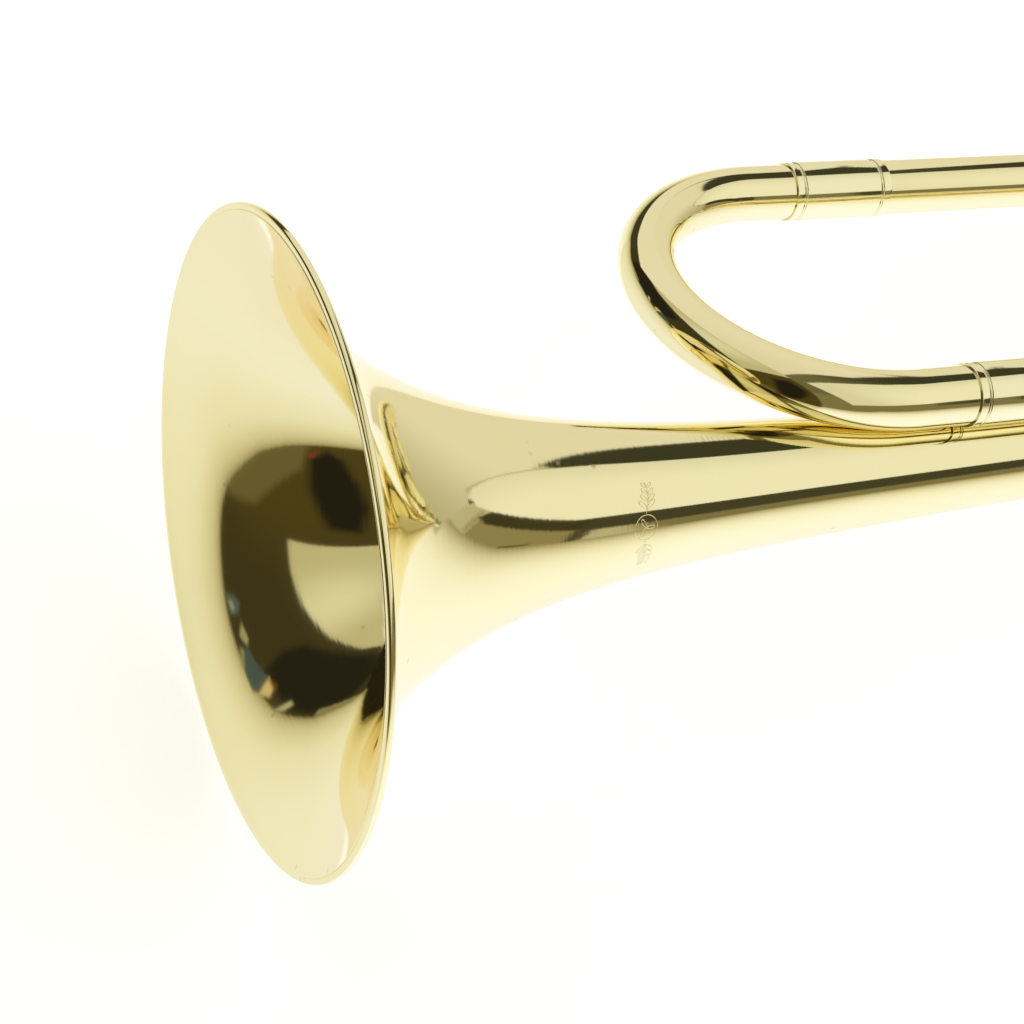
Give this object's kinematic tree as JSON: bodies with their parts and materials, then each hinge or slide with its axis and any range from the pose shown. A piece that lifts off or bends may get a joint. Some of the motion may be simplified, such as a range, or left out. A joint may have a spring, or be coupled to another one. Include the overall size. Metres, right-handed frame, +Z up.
{
  "type": "valveless flugelhorn",
  "caption": "Valveless single-wrap signal horn in lacquered brass: flaring bell, bent bows in sleeve ferrules, tuning shank and cup mouthpiece.",
  "frame": {"origin": "centre of the bounding box on the table the horn lies on", "axes": "+X runs from the bell mouth to the mouthpiece along the longest extent, +Z is up from the table, +Y is the side of the second yard"},
  "size_m": [0.5632, 0.1482, 0.1212],
  "materials": {
    "bell_brass": "polished and lacquered",
    "tube_brass": "polished and lacquered",
    "fitting_brass": "polished and lacquered, slightly paler",
    "silver_plate": "silver plated, polished"
  },
  "bodies": {
    "horn": {"bell": "bell_brass", "bell_rim_bead": "bell_brass", "front_bow": "tube_brass", "rear_bow": "tube_brass", "second_yard": "tube_brass", "mouthpipe": "tube_brass", "ferrule_front_yard": "fitting_brass", "ferrule_front_pipe": "fitting_brass", "ferrule_rear_yard": "fitting_brass", "ferrule_rear_bell": "fitting_brass", "mouthpipe_sleeve": "fitting_brass", "clamp_collar": "fitting_brass", "brace_front_post": "fitting_brass", "brace_front_bell_flange": "fitting_brass", "brace_front_yard_flange": "fitting_brass", "brace_rear_post": "fitting_brass", "brace_rear_bell_flange": "fitting_brass", "brace_rear_yard_flange": "fitting_brass", "mouthpipe_saddle_front": "fitting_brass", "mouthpipe_saddle_rear": "fitting_brass", "lanyard_lug_front": "fitting_brass", "lanyard_lug_rear": "fitting_brass"},
    "tuning_shank": {"tuning_shank": "silver_plate", "receiver": "silver_plate"},
    "mouthpiece": {"mouthpiece": "silver_plate"},
    "clamp_screw": {"clamp_screw": "fitting_brass"},
    "ring_front": {"lanyard_ring_front": "tube_brass"},
    "ring_rear": {"lanyard_ring_rear": "tube_brass"}
  },
  "joints": [
    {"name": "tuning_slide", "type": "slide", "parent": "horn", "child": "tuning_shank", "axis": [0.9928, -0.0156, -0.119], "range_m": [-0.0115, 0.018]},
    {"name": "mouthpiece_pull", "type": "slide", "parent": "tuning_shank", "child": "mouthpiece", "axis": [0.9928, -0.0156, -0.119], "range_m": [0, 0.03]},
    {"name": "clamp_screw_turn", "type": "hinge", "parent": "horn", "child": "clamp_screw", "pos_m": [0.17708, -0.02598, 0.029], "axis": [0.1185, 0.2837, 0.9516], "range_deg": [0, 180]},
    {"name": "ring_front_swing", "type": "hinge", "parent": "horn", "child": "ring_front", "pos_m": [-0.05107, 0.071, 0.0285], "axis": [0.9928, -0.0156, -0.119], "range_deg": [-55, 180]},
    {"name": "ring_rear_swing", "type": "hinge", "parent": "horn", "child": "ring_rear", "pos_m": [0.02837, 0.06975, 0.01898], "axis": [0.9928, -0.0156, -0.119], "range_deg": [-55, 180]}
  ]
}
